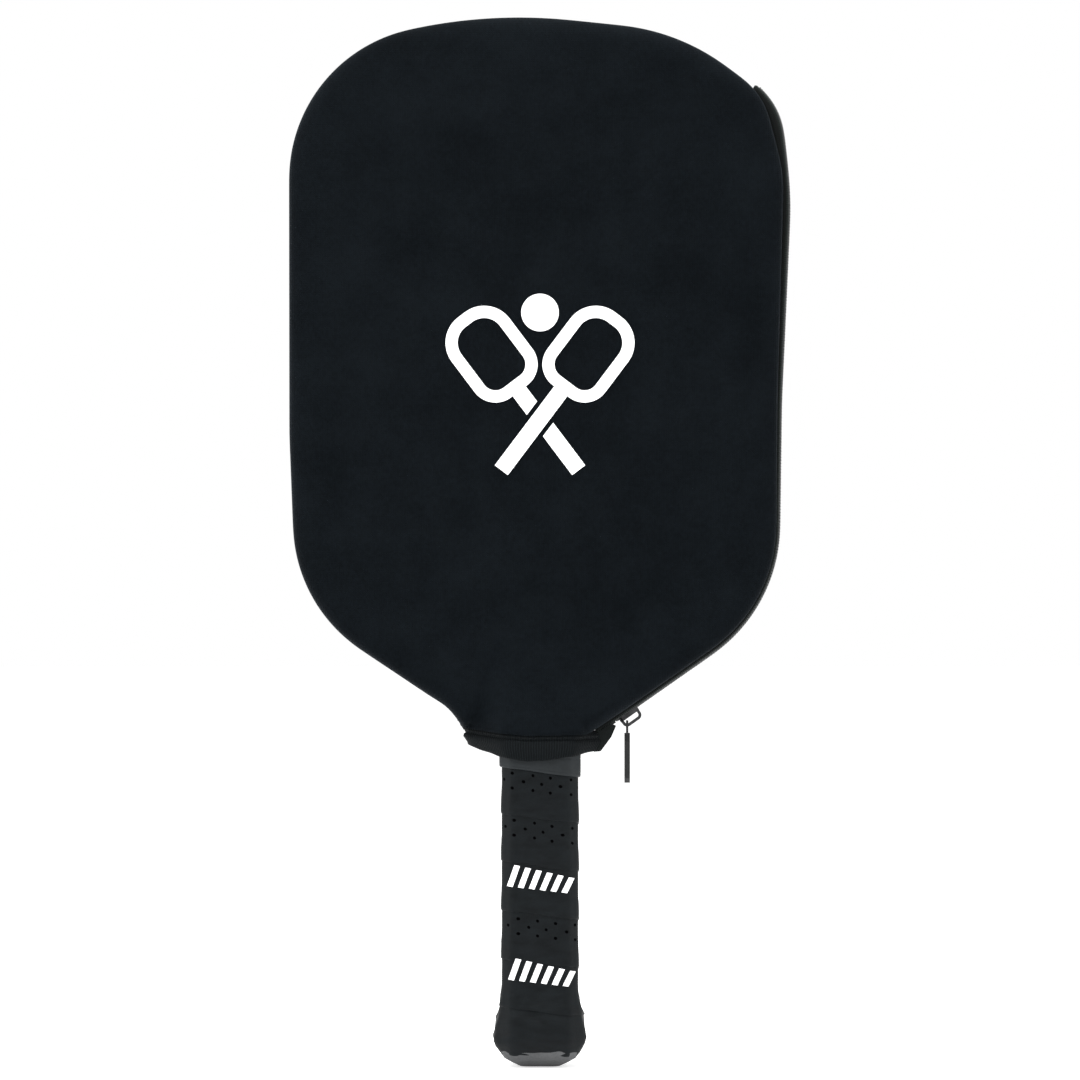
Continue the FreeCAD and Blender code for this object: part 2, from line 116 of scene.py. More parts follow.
def tree(*names):
    """A tree for casting rays at CAD nodes."""
    vertices, faces = [], []
    for name in names:
        mesh = NODES[name].data
        first = len(vertices)
        vertices += [v.co.copy() for v in mesh.vertices]
        faces += [[first + i for i in p.vertices] for p in mesh.polygons]
    return BVHTree.FromPolygons(vertices, faces)


def first_hit(target, start, direction):
    hit = target.ray_cast(Vector(start), Vector(direction).normalized(), 1.0)
    return hit[0]


def depth_map(target, x, z, missing=0.0):
    """How far a node's front surface stands from the middle plane at each point."""
    out = np.full(len(x), missing)
    for i, (px, pz) in enumerate(zip(x, z)):
        hit = first_hit(target, (px, -0.2, pz), (0, 1, 0))
        if hit is not None and hit.y < 0:
            out[i] = -hit.y
    return out


def smoothed(values, passes, closed=False):
    """Values averaged with their neighbours a number of times."""
    out = np.array(values, float)
    for _ in range(passes):
        if closed:
            out = (np.roll(out, 1, 0) + 2 * out + np.roll(out, -1, 0)) / 4
        else:
            out[1:-1] = (out[:-2] + 2 * out[1:-1] + out[2:]) / 4
    return out


def lengths_along(points):
    steps = np.linalg.norm(np.diff(points, axis=0), axis=1)
    return np.concatenate([[0.0], np.cumsum(steps)])


def spaced(points, step):
    """An open polyline's points at even steps."""
    points = np.array(points, float)
    at = lengths_along(points)
    wanted = np.linspace(0.0, at[-1], max(2, int(round(at[-1] / step)) + 1))
    return np.stack([np.interp(wanted, at, points[:, k]) for k in range(points.shape[1])], axis=1)


def smooth_noise(x, z, seed, size):
    """A soft height between about -1 and 1 from a few seeded waves of about that size."""
    dice = np.random.default_rng(seed)
    out = np.zeros_like(x)
    for _ in range(7):
        angle = dice.uniform(0, 2 * math.pi)
        wave = 2 * math.pi / (size * dice.uniform(0.6, 1.6))
        out += np.sin((x * math.cos(angle) + z * math.sin(angle)) * wave + dice.uniform(0, 2 * math.pi))
    return out / 4


# Making meshes

def placed(name, data):
    """A new object in the scene that shows some data."""
    made = bpy.data.objects.new(name, data)
    bpy.context.scene.collection.objects.link(made)
    return made


def new_object(name, vertices, faces):
    mesh = bpy.data.meshes.new(name)
    mesh.from_pydata([tuple(v) for v in vertices], [], faces)
    mesh.validate()
    mesh.shade_smooth()
    return placed(name, mesh)


def grid_faces(rows, columns, closed_rows=False, closed_columns=False, first=0):
    faces = []
    for r in range(rows if closed_rows else rows - 1):
        for c in range(columns if closed_columns else columns - 1):
            r2, c2 = (r + 1) % rows, (c + 1) % columns
            faces.append((first + r * columns + c, first + r * columns + c2,
                          first + r2 * columns + c2, first + r2 * columns + c))
    return faces


def grid_object(name, points, closed_rows=False, closed_columns=False, uv=None, flip=False):
    """A surface from a grid of points (rows, columns, 3), with its flat sizes in mm as its UVs."""
    rows, columns = points.shape[:2]
    faces = grid_faces(rows, columns, closed_rows, closed_columns)
    if flip:
        faces = [f[::-1] for f in faces]
    made = new_object(name, points.reshape(-1, 3), faces)
    if uv is not None:
        set_uv(made, uv.reshape(-1, 2))
    return made


def set_uv(made, per_vertex):
    layer = made.data.uv_layers.new(name="flat")
    corners = np.zeros(len(made.data.loops), int)
    made.data.loops.foreach_get("vertex_index", corners)
    layer.data.foreach_set("uv", per_vertex[corners].astype(np.float32).ravel())


def tube(name, points, radius):
    """A round wire along points."""
    curve = bpy.data.curves.new(name, "CURVE")
    curve.dimensions = "3D"
    curve.bevel_depth = radius
    curve.bevel_resolution = 1
    curve.use_fill_caps = True
    spline = curve.splines.new("POLY")
    spline.points.add(len(points) - 1)
    spline.points.foreach_set("co", np.column_stack([points, np.ones(len(points))]).ravel())
    source = placed(name + "_path", curve)
    mesh = bpy.data.meshes.new_from_object(source)
    bpy.data.objects.remove(source)
    mesh.shade_smooth()
    return placed(name, mesh)


def joined(name, parts):
    """Several objects' meshes as one object."""
    vertices, faces = [], []
    for part in parts:
        first = len(vertices)
        vertices += [tuple(v.co) for v in part.data.vertices]
        faces += [tuple(first + i for i in p.vertices) for p in part.data.polygons]
        bpy.data.objects.remove(part)
    return new_object(name, vertices, faces)


def paint(made, material):
    made.data.materials.clear()
    made.data.materials.append(material)


def stand_for(made, material, slot, *nodes, body="root"):
    paint(made, material)
    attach(made, body)
    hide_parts(*nodes)


# Materials

class Shader:
    """A material whose nodes are added by short calls."""

    def __init__(self, name, **values):
        self.material = bpy.data.materials.new(name)
        self.material.use_nodes = True
        self.nodes = self.material.node_tree.nodes
        self.links = self.material.node_tree.links
        self.surface = self.nodes["Principled BSDF"]
        for socket, value in values.items():
            self.surface.inputs[socket.replace("_", " ")].default_value = value

    def add(self, kind, settings=(), **inputs):
        node = self.nodes.new(kind)
        for key, value in dict(settings).items():
            setattr(node, key, value)
        for key, value in inputs.items():
            self.set(node.inputs[key.replace("_", " ")], value)
        return node

    def set(self, socket, value):
        if isinstance(value, bpy.types.NodeSocket):
            self.links.new(value, socket)
        else:
            socket.default_value = value

    def math(self, operation, *values):
        node = self.nodes.new("ShaderNodeMath")
        node.operation = operation
        for socket, value in zip(node.inputs, values):
            self.set(socket, value)
        return node.outputs[0]

    def times(self, first, second):
        return self.math("MULTIPLY", first, second)

    def plus(self, first, second):
        return self.math("ADD", first, second)

    def minus(self, first, second):
        return self.math("SUBTRACT", first, second)

    def place(self):
        return self.add("ShaderNodeTexCoord").outputs["Object"]

    def flat(self):
        """The two flat coordinates, in mm."""
        parts = self.add("ShaderNodeSeparateXYZ", Vector=self.add("ShaderNodeTexCoord").outputs["UV"])
        return parts.outputs["X"], parts.outputs["Y"]

    def scaled(self, vector, factors):
        return self.add("ShaderNodeMapping", Vector=vector, Scale=factors).outputs[0]

    def noise(self, vector, scale, detail=3.0, roughness=0.55):
        return self.add("ShaderNodeTexNoise", Vector=vector, Scale=scale, Detail=detail,
                        Roughness=roughness).outputs["Fac"]

    def ramp(self, value, *stops):
        """A value or colour ramp from stops (place, grey or colour)."""
        node = self.nodes.new("ShaderNodeValToRGB")
        band = node.color_ramp
        while len(band.elements) < len(stops):
            band.elements.new(0.5)
        for element, (place, colour) in zip(band.elements, stops):
            element.position = place
            element.color = (*colour, 1.0) if isinstance(colour, tuple) else (colour, colour, colour, 1.0)
        self.links.new(value, node.inputs["Fac"])
        return node.outputs["Color"]

    def bump(self, height, distance, strength=1.0, normal=None):
        node = self.add("ShaderNodeBump", Height=height, Distance=distance, Strength=strength)
        if normal is not None:
            self.links.new(normal, node.inputs["Normal"])
        return node.outputs["Normal"]

    def wire(self, socket, value):
        self.links.new(value, self.surface.inputs[socket])

    def finish(self, colour, height, distance, roughness=None):
        """The material, with its colour, its bump and perhaps its roughness put on the surface."""
        self.wire("Base Color", colour)
        self.wire("Normal", self.bump(height, distance))
        if roughness is not None:
            self.wire("Roughness", roughness)
        return self.material


def neoprene():
    """Black knit nylon bonded to foam: fine loops in rows, a faint mottle and a soft sheen at the edges."""
    s = Shader("neoprene_knit", Roughness=0.82, Sheen_Weight=0.04, Sheen_Roughness=0.35,
               Specular_IOR_Level=0.03)
    s.surface.inputs["Sheen Tint"].default_value = (0.75, 0.88, 1.0, 1.0)
    place = s.place()
    mottle = s.noise(place, 38.0, 4.0, 0.6)
    lint = s.noise(s.scaled(place, (1.0, 1.0, 0.6)), 900.0, 2.0)
    fleck = s.times(s.minus(lint, 0.5), 0.9)
    s.wire("Base Color", s.ramp(s.plus(mottle, fleck), (0.25, (0.0014, 0.0022, 0.0030)),
                                (0.75, (0.0034, 0.0048, 0.0062))))
    rib = s.add("ShaderNodeTexWave", {"bands_direction": "X", "wave_profile": "SIN"},
                Vector=place, Scale=330.0, Distortion=1.2, Detail=1.0, Detail_Scale=900.0)
    rows = s.add("ShaderNodeTexWave", {"bands_direction": "Z", "wave_profile": "SIN"},
                 Vector=place, Scale=430.0, Distortion=1.0, Detail=1.0, Detail_Scale=700.0)
    knit = s.times(rib.outputs["Fac"], rows.outputs["Fac"])
    grain = s.bump(s.plus(knit, s.times(lint, 0.8)), 0.12 * MM, 0.8)
    s.wire("Normal", s.bump(mottle, 0.5 * MM, 0.5, grain))
    s.wire("Roughness", s.ramp(lint, (0.2, 0.72), (0.8, 0.92)))
    return s.material


def woven(name, dark, light, warp, weft, height, sheen, groove=None):
    """A narrow woven tape: ribs across it every weft mm and threads along it every warp mm, from its UVs.
    Its colour is painted darker, a painted shade under the panel's lip, from the second of groove's two
    distances across it (mm) to the first."""
    s = Shader(name, Roughness=0.7, Sheen_Weight=sheen, Sheen_Roughness=0.4, Specular_IOR_Level=0.06)
    along, across = s.flat()
    rib = s.math("SINE", s.times(along, 2 * math.pi / weft))
    threads = s.math("SINE", s.times(across, 2 * math.pi / warp))
    fuzz = s.noise(s.place(), 1400.0, 3.0)
    crossing = s.times(s.times(rib, threads), 0.35)
    weave = s.plus(s.math("MULTIPLY_ADD", rib, 0.5, 0.5), crossing)
    weave_and_lip_shade = s.math("MULTIPLY_ADD", fuzz, 0.5, s.times(weave, 0.5))
    # Painted shade: the weave's colour and bump height fade to dark towards the panel's lip, standing in for
    # the shadow beneath it.
    if groove:
        inner, outer = groove
        lit = s.math("DIVIDE", s.minus(across, inner), outer - inner)
        weave_and_lip_shade = s.times(weave_and_lip_shade, s.math("MINIMUM", s.math("MAXIMUM", lit, 0.0), 1.0))
    return s.finish(s.ramp(weave_and_lip_shade, (0.3, dark), (0.8, light)), weave_and_lip_shade, height,
                    s.ramp(fuzz, (0.3, 0.6), (0.7, 0.82)))


def thread(name, dark, light):
    s = Shader(name, Roughness=0.6, Sheen_Weight=0.05, Specular_IOR_Level=0.15)
    twist = s.add("ShaderNodeTexWave", {"bands_direction": "DIAGONAL"}, Vector=s.place(), Scale=900.0)
    return s.finish(s.ramp(twist.outputs["Fac"], (0.2, dark), (0.8, light)), twist.outputs["Fac"], 0.08 * MM)


def nylon_coil():
    s = Shader("nylon_coil", Roughness=0.34, Specular_IOR_Level=0.5)
    wear = s.noise(s.place(), 700.0)
    return s.finish(s.ramp(wear, (0.3, (0.008, 0.008, 0.009)), (0.75, (0.03, 0.031, 0.033))), wear, 0.05 * MM,
                    s.ramp(wear, (0.3, 0.26), (0.7, 0.45)))


def enamelled_metal(name, dark, light, roughness):
    """Black enamel over cast metal, rubbed a little brighter in spots, with a faint orange-peel."""
    s = Shader(name, Roughness=roughness, Metallic=0.2, Specular_IOR_Level=0.3, Coat_Weight=0.2,
               Coat_Roughness=0.2)
    peel = s.noise(s.place(), 650.0, 2.0)
    rub = s.noise(s.place(), 240.0, 5.0, 0.65)
    return s.finish(s.ramp(rub, (0.45, dark), (0.72, light)), peel, 0.04 * MM,
                    s.ramp(rub, (0.4, roughness), (0.75, min(1.0, roughness + 0.2))))


def screen_print(name, grain):
    """Opaque white print that lets the fabric's grain show through."""
    s = Shader(name, Roughness=0.55, Specular_IOR_Level=0.3)
    fine = s.noise(s.place(), grain, 2.0)
    return s.finish(s.ramp(fine, (0.25, (0.86, 0.87, 0.87)), (0.75, (0.95, 0.95, 0.95))), fine, 0.05 * MM,
                    s.ramp(fine, (0.3, 0.48), (0.7, 0.65)))


def tacky_wrap():
    """The overgrip: a soft film with fine grain, creases along the wrap and three rows of round holes."""
    s = Shader("tacky_wrap", Roughness=0.5, Specular_IOR_Level=0.09, Sheen_Weight=0.01)
    along, across = s.flat()
    row = s.math("DIVIDE", s.minus(across, HOLE_START), HOLE_ROW_GAP)
    from_row = s.times(s.minus(s.math("FRACT", row), 0.5), HOLE_ROW_GAP)
    shifted = s.math("MULTIPLY_ADD", s.math("FLOOR", row), 0.5, s.math("DIVIDE", along, HOLE_SPACING))
    from_hole = s.times(s.minus(s.math("FRACT", shifted), 0.5), HOLE_SPACING)
    gap = s.math("SQRT", s.plus(s.math("POWER", s.math("ABSOLUTE", from_row), 2.0),
                                s.math("POWER", s.math("ABSOLUTE", from_hole), 2.0)))
    inside = s.times(s.math("GREATER_THAN", row, 0.0), s.math("LESS_THAN", row, 3.0))
    punched = s.add("ShaderNodeAttribute", {"attribute_name": "punched"}).outputs["Fac"]
    hole = s.times(s.times(s.math("LESS_THAN", gap, HOLE_RADIUS), inside), punched)
    grain = s.noise(s.place(), 1500.0, 3.0)
    smear = s.noise(s.scaled(s.place(), (1.0, 1.0, 2.5)), 130.0, 5.0, 0.6)
    tone = s.ramp(smear, (0.3, (0.0011, 0.0019, 0.0024)), (0.72, (0.0040, 0.0056, 0.0066)))
    mix = s.add("ShaderNodeMix", {"data_type": "RGBA"})
    s.set(mix.inputs[0], hole)
    s.set(mix.inputs[6], tone)
    s.set(mix.inputs[7], (0.0004, 0.0004, 0.0005, 1.0))
    s.wire("Base Color", mix.outputs[2])
    s.wire("Specular IOR Level", s.times(s.minus(1.0, hole), 0.09))
    height = s.minus(s.math("MULTIPLY_ADD", smear, 2.2, s.times(grain, 0.35)), s.times(hole, 2.5))
    s.wire("Normal", s.bump(height, 0.16 * MM, 0.85))
    s.wire("Roughness", s.ramp(smear, (0.3, 0.46), (0.7, 0.66)))
    return s.material


def rubber(name, dark, light, roughness, grain):
    s = Shader(name, Roughness=roughness, Specular_IOR_Level=0.12)
    fine = s.noise(s.place(), grain, 4.0, 0.6)
    cloud = s.noise(s.place(), 90.0, 3.0)
    patchy = s.math("MULTIPLY_ADD", cloud, 0.6, s.times(fine, 0.4))
    return s.finish(s.ramp(patchy, (0.3, dark), (0.7, light)), fine, 0.1 * MM,
                    s.ramp(cloud, (0.3, roughness - 0.08), (0.7, roughness + 0.1)))


def carbon_twill():
    """Woven carbon under a matt grit coat: a 2 by 2 twill from diagonal bands."""
    s = Shader("carbon_twill", Roughness=0.45, Specular_IOR_Level=0.5, Metallic=0.2)
    bands = s.add("ShaderNodeTexWave", {"bands_direction": "DIAGONAL"}, Vector=s.place(), Scale=110.0)
    tows = s.add("ShaderNodeTexChecker", Vector=s.place(), Scale=500.0)
    grit = s.noise(s.place(), 2600.0, 2.0)
    weave = s.math("MULTIPLY_ADD", bands.outputs["Fac"], 0.7, s.times(tows.outputs["Fac"], 0.3))
    tone = s.ramp(weave, (0.2, (0.012, 0.012, 0.013)), (0.8, (0.045, 0.046, 0.048)))
    return s.finish(tone, s.plus(weave, grit), 0.06 * MM)


def honeycomb():
    """The core's cut edge: polymer cell walls round dark cells."""
    s = Shader("honeycomb_core", Roughness=0.6)
    cells = s.add("ShaderNodeTexVoronoi", {"feature": "DISTANCE_TO_EDGE"}, Vector=s.place(), Scale=130.0,
                  Randomness=0.15)
    wall = s.ramp(cells.outputs["Distance"], (0.04, (0.72, 0.71, 0.66)), (0.1, (0.16, 0.16, 0.15)))
    return s.finish(wall, cells.outputs["Distance"], 1.0 * MM)


def foam(name, dark, light):
    s = Shader(name, Roughness=0.9)
    cells = s.add("ShaderNodeTexVoronoi", Vector=s.place(), Scale=900.0).outputs["Distance"]
    return s.finish(s.ramp(cells, (0.0, dark), (0.7, light)), cells, 0.2 * MM)


LOOKS = {
    "neoprene": neoprene(),
    "binding": woven("binding_grosgrain", (0.0006, 0.0011, 0.0014), (0.0044, 0.0062, 0.0072), 0.55, 1.05,
                     0.25 * MM, 0.03),
    # The zip tape's colour carries a painted shade under the panel's lip, set by the two groove distances.
    "zip_tape": woven("zip_tape_weave_and_lip_shade", (0.0012, 0.0016, 0.0016), (0.0190, 0.0240, 0.0220), 0.5, 0.8,
                      0.2 * MM, 0.05, groove=(3.4, 5.0)),
    "end_tape": woven("end_tape_weave", (0.0014, 0.0019, 0.0019), (0.0120, 0.0150, 0.0145), 0.5, 0.8,
                      0.2 * MM, 0.05),
    "seam_tape": thread("polyester_thread", (0.0030, 0.0040, 0.0045), (0.0100, 0.0115, 0.0125)),
    "hem_thread": thread("hem_thread", (0.0008, 0.0011, 0.0013), (0.0035, 0.0042, 0.0047)),
    "zip_coil": nylon_coil(),
    "zip_stop": enamelled_metal("stop_enamel", (0.006, 0.007, 0.007), (0.022, 0.026, 0.025), 0.55),
    "zip_metal": enamelled_metal("black_enamel", (0.003, 0.003, 0.0035), (0.040, 0.041, 0.043), 0.36),
    "pull": enamelled_metal("pull_enamel", (0.003, 0.0032, 0.0035), (0.010, 0.0105, 0.011), 0.3),
    "print": screen_print("white_print", 1100.0),
    "grip_print": screen_print("white_grip_print", 700.0),
    "core": honeycomb(),
    "carbon_face": carbon_twill(),
    "guard": rubber("guard_rubber", (0.010, 0.010, 0.011), (0.022, 0.022, 0.023), 0.5, 900.0),
    "foam": foam("pallet_foam", (0.35, 0.33, 0.28), (0.62, 0.60, 0.54)),
    "cap": rubber("cap_plastic", (0.050, 0.052, 0.054), (0.085, 0.087, 0.089), 0.48, 1200.0),
    "base_grip": rubber("base_grip_rubber", (0.010, 0.011, 0.012), (0.020, 0.022, 0.024), 0.62, 800.0),
    "overgrip": tacky_wrap(),
    "collar": rubber("collar_band", (0.010, 0.012, 0.013), (0.016, 0.019, 0.021), 0.5, 600.0),
}


# The cover's outline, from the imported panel

def mouth_corners():
    """The outline's two ends at the mouth, left then right."""
    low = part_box("front_panel")[0].z
    foot = [v.co for v in NODES["front_panel"].data.vertices if v.co.z < low + 0.1 * MM]
    left = min(foot, key=lambda c: c.x)
    right = max(foot, key=lambda c: c.x)
    return np.array([left.x, low]), np.array([right.x, low])


def inner_point():
    """A point inside the outline from which all of it can be seen."""
    low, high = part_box("front_panel")
    return np.array([0.0, low.z + 0.53 * (high.z - low.z)])


HUB = inner_point()


def outer_reach(target, angle, depth):
    """How far from the hub a node reaches in a direction, at one depth; 0 if it isn't there."""
    way = np.array([math.sin(angle), -math.cos(angle)])
    start = HUB + way * 0.3
    hit = first_hit(target, (start[0], -depth, start[1]), (-way[0], 0, -way[1]))
    if hit is None:
        return 0.0
    return max(0.0, float((np.array([hit.x, hit.z]) - HUB) @ way))


def make_outline():
    """The outline from the left end of the mouth round the head to the right end, then back along the mouth.
    Returns the points, and for each whether it lies on the mouth."""
    left, right = mouth_corners()
    start = math.atan2(left[0] - HUB[0], HUB[1] - left[1])
    end = math.atan2(right[0] - HUB[0], HUB[1] - right[1])
    panel = tree("front_panel")
    points = [left]
    for share in np.linspace(0.0, 1.0, 1400)[1:-1]:
        angle = start + (end - 2 * math.pi - start) * share
        reach = max(outer_reach(panel, angle, 1.5 * MM), outer_reach(panel, angle, 7.2 * MM))
        points.append(HUB + reach * np.array([math.sin(angle), -math.cos(angle)]))
    points.append(right)
    round_head = spaced(points, OUTLINE_STEP)
    round_head = smoothed(round_head, 3)
    along_mouth = spaced([right, left], OUTLINE_STEP)[1:-1]
    on_mouth = np.concatenate([np.zeros(len(round_head)), np.ones(len(along_mouth))])
    return np.concatenate([round_head, along_mouth]), on_mouth


def zip_share(outline, on_mouth):
    """1 where the zip runs, 0 where the two panels are sewn together, and a short change between."""
    panel = tree("front_panel")
    share = np.zeros(len(outline))
    for i, point in enumerate(outline):
        way = point - HUB
        angle = math.atan2(way[0], -way[1])
        share[i] = np.linalg.norm(way) - outer_reach(panel, angle, 1.5 * MM) > 1.6 * MM
    share[on_mouth > 0] = 0.0
    return smoothed(share, 3)


def inward(outline):
    """Each outline point's unit direction to the cover's middle line, and its distance to it."""
    low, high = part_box("front_panel")
    height = high.z - low.z
    nearest = np.zeros_like(outline)
    nearest[:, 1] = np.clip(outline[:, 1], low.z + 0.29 * height, low.z + 0.71 * height)
    way = nearest - outline
    distance = np.linalg.norm(way, axis=1)
    return way / distance[:, None], distance


# Panels

def resting_depth(x, z):
    """The least depth that a panel's outer face can have over the paddle and its handle."""
    inside = tree("edge_guard", "front_face_sheet", "overgrip", "grip_collar", "base_grip")
    found = depth_map(inside, x, z, missing=-1.0)
    return np.where(found > 0, found + CLOTH + CLEARANCE, 0.0)


def settled(outline):
    """A stretched sheet settled over the paddle, on a regular grid (x, z, depth): each free point goes to
    the mean of its neighbours, but not through what is under it. Near the outline it stays where it was."""
    low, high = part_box("front_panel")
    across = np.arange(low.x, high.x + GRID_STEP, GRID_STEP)
    up = np.arange(low.z, high.z + GRID_STEP, GRID_STEP)
    x, z = np.meshgrid(across, up)
    cad = depth_map(tree("front_panel"), x.ravel(), z.ravel(), missing=0.0).reshape(x.shape)
    floor = resting_depth(x.ravel(), z.ravel()).reshape(x.shape)
    gaps = np.hypot(x.ravel()[:, None] - outline[None, ::4, 0], z.ravel()[:, None] - outline[None, ::4, 1])
    free = (gaps.min(axis=1).reshape(x.shape) > HELD_BAND) & (cad > 0)
    depth = cad.copy()
    for _ in range(RELAX_STEPS):
        beside = np.roll(depth, 1, 1) + np.roll(depth, -1, 1)
        mean = (beside + np.roll(depth, 1, 0) + np.roll(depth, -1, 0)) / 4
        depth = np.where(free, np.maximum(mean, floor), depth)
    return across, up, np.maximum(depth, floor * (cad > 0))


def on_grid(grid, x, z):
    """Depths read from a settled grid at any points, between its own."""
    across, up, depth = grid
    c = np.clip((x - across[0]) / GRID_STEP, 0, len(across) - 1.001)
    r = np.clip((z - up[0]) / GRID_STEP, 0, len(up) - 1.001)
    c0, r0 = np.floor(c).astype(int), np.floor(r).astype(int)
    low = depth[r0, c0] * (1 - c + c0) + depth[r0, c0 + 1] * (c - c0)
    high = depth[r0 + 1, c0] * (1 - c + c0) + depth[r0 + 1, c0 + 1] * (c - c0)
    return low * (1 - r + r0) + high * (r - r0)


def mouth_rise(x):
    """How much higher than the frame's mouth the panels' lower edge hangs, across the mouth."""
    left, right = mouth_corners()
    share = np.clip((x - left[0]) / (right[0] - left[0]), 0.0, 1.0)
    places, rises = np.array(MOUTH_SAG).T
    return np.interp(share, places, rises) * MM


def panel_surface(outline, on_mouth, zipped):
    """The front panel's outer face as rings of (x, depth, z), from the sewn lip to near the middle line."""
    way, distance = inward(outline)
    count, roll = len(outline), len(SEAM_ROLL)
    seam, zipper = np.array(SEAM_ROLL), np.array(ZIP_ROLL)
    share = zipped[None, :]
    inset = (seam[:, :1] * (1 - share) + zipper[:, :1] * share) * MM
    rise = seam[:, 1:] * (1 - share) + zipper[:, 1:] * share
    mouth = on_mouth[None, :] > 0
    ring_place = np.arange(roll)[:, None] * np.ones((1, count))
    last = SEAM_ROLL[-1][0] * MM
    at_mouth = np.maximum(0.0, ring_place - LIP_RINGS) / (roll - 1 - LIP_RINGS) * last
    inset = np.where(mouth, at_mouth, inset)
    deeper = 1 - (1 - np.linspace(0.0, 1.0, INNER_RINGS + 1)[1:]) ** 1.35
    inner = last + deeper[:, None] * (distance[None, :] * 0.985 - last)
    inset = np.concatenate([inset, inner])
    x = outline[None, :, 0] + way[None, :, 0] * inset
    z = outline[None, :, 1] + way[None, :, 1] * inset
    cad = depth_map(tree("front_panel"), x.ravel(), z.ravel(), missing=0.0).reshape(x.shape)
    crown = smoothed(cad[roll - 1], 6, closed=True)
    lip = SEAM_LIP_DEPTH * (1 - zipped) + ZIP_LIP_DEPTH * zipped
    depth = cad.copy()
    depth[roll:] = on_grid(settled(outline), x[roll:], z[roll:])
    depth[:roll] = lip[None, :] + (crown - lip)[None, :] * rise
    arch = np.where(on_mouth > 0, np.maximum(cad[LIP_RINGS + 1], 2.0 * MM) + MOUTH_PROUD, 0.0)
    rim = np.clip(np.arange(roll)[:, None] / LIP_RINGS, 0.0, 1.0)
    depth[:roll] = np.where(mouth, arch[None, :] - CLOTH * (1 - rim), depth[:roll])
    free = np.zeros(x.shape, bool)
    free[roll - 2:] = True
    free[LIP_RINGS + 2:, on_mouth > 0] = True
    floor = resting_depth(x.ravel(), z.ravel()).reshape(x.shape)
    mouth_z = mouth_corners()[0][1]
    near_mouth = np.clip(1 - (z - mouth_z) / (4 * MM), 0, 1) * (np.abs(x) < outline[:, 0].max())
    held = np.where(near_mouth > 0, cad + MOUTH_PROUD * near_mouth, 0.0)
    floor = np.maximum(floor, held)
    for _ in range(EASE_STEPS):
        mean = (np.roll(depth, 1, 1) + np.roll(depth, -1, 1)) / 2
        mean[1:-1] = 0.4 * mean[1:-1] + 0.3 * (depth[:-2] + depth[2:])
        mean[-1] = 0.5 * mean[-1] + 0.5 * depth[-2]
        depth = np.where(free, np.maximum(mean, floor), depth)
    z = z + mouth_rise(x) * np.clip(1 - (z - mouth_z) / SAG_FADE, 0, 1) ** 1.5
    return np.stack([x, depth, z], axis=2)


def panel_object(name, surface, side, seed):
    """A closed panel: the outer face, its lip, and an inner face one thickness inside it."""
    outer = surface.copy()
    rings, count = outer.shape[:2]
    waves = smooth_noise(outer[..., 0], outer[..., 2], seed, 34 * MM)
    fade = np.clip((np.arange(rings) - LIP_RINGS) / 6.0, 0, 1)[:, None]
    outer[..., 1] += waves * fade * 0.05 * MM
    outer[..., 1] *= side
    probe = grid_object("probe", outer, closed_columns=True)
    normals = np.zeros(rings * count * 3)
    probe.data.vertices.foreach_get("normal", normals)
    bpy.data.objects.remove(probe)
    normals = normals.reshape(rings, count, 3)
    if (normals[-1, :, 1] * side).mean() < 0:
        normals = -normals
    inner = outer[LIP_RINGS + 2:] - normals[LIP_RINGS + 2:] * CLOTH
    points = np.concatenate([outer, inner])
    inner_rings = len(inner)
    faces = grid_faces(rings, count, closed_columns=True)
    faces += grid_faces(inner_rings, count, closed_columns=True, first=rings * count)
    for c in range(count):
        c2 = (c + 1) % count
        faces.append((c, c2, rings * count + c2, rings * count + c))
    vertices = points.reshape(-1, 3)
    for ring in (rings - 1, rings + inner_rings - 1):
        faces += closing_faces(vertices, ring * count, count)
    made = new_object(name, vertices, faces)
    tidy_normals(made)
    return made


def closing_faces(vertices, first, count):
    """Strips across a long thin loop, from each point to the one that faces it."""
    order = sorted(range(count), key=lambda i: vertices[first + i][2])
    lowest, highest = order[0], order[-1]
    left = [(lowest + k) % count for k in range((highest - lowest) % count + 1)]
    right = [(lowest - k) % count for k in range((lowest - highest) % count + 1)]
    faces = []
    i = j = 0
    while i < len(left) - 1 or j < len(right) - 1:
        next_left = vertices[first + left[i + 1]][2] if i < len(left) - 1 else math.inf
        next_right = vertices[first + right[j + 1]][2] if j < len(right) - 1 else math.inf
        if next_left <= next_right:
            triangle = (left[i], left[i + 1], right[j])
            i += 1
        else:
            triangle = (left[i], right[j + 1], right[j])
            j += 1
        if len(set(triangle)) == 3:
            faces.append(tuple(first + k for k in triangle))
    return faces


def tidy_normals(made):
    mesh = bmesh.new()
    mesh.from_mesh(made.data)
    bmesh.ops.recalc_face_normals(mesh, faces=mesh.faces)
    mesh.to_mesh(made.data)
    mesh.free()
    made.data.shade_smooth()


# Small repeated pieces

def bars(name, starts, ends, radius, sides=6):
    """Short round threads, one from each start to its end."""
    vertices, faces = [], []
    for start, end in zip(starts, ends):
        axis = (end - start) / np.linalg.norm(end - start)
        across = np.cross(axis, (0.31, 0.52, 0.79))
        across /= np.linalg.norm(across)
        other = np.cross(axis, across)
        first = len(vertices)
        for place, swell in ((start, 0.5), (start + (end - start) * 0.18, 1.0),
                             (start + (end - start) * 0.82, 1.0), (end, 0.5)):
            for k in range(sides):
                turn = 2 * math.pi * k / sides
                vertices.append(place + (across * math.cos(turn) + other * math.sin(turn)) * radius * swell)
        faces += grid_faces(4, sides, closed_columns=True, first=first)
        faces.append(tuple(first + k for k in range(sides))[::-1])
        faces.append(tuple(first + 3 * sides + k for k in range(sides)))
    return new_object(name, vertices, faces)


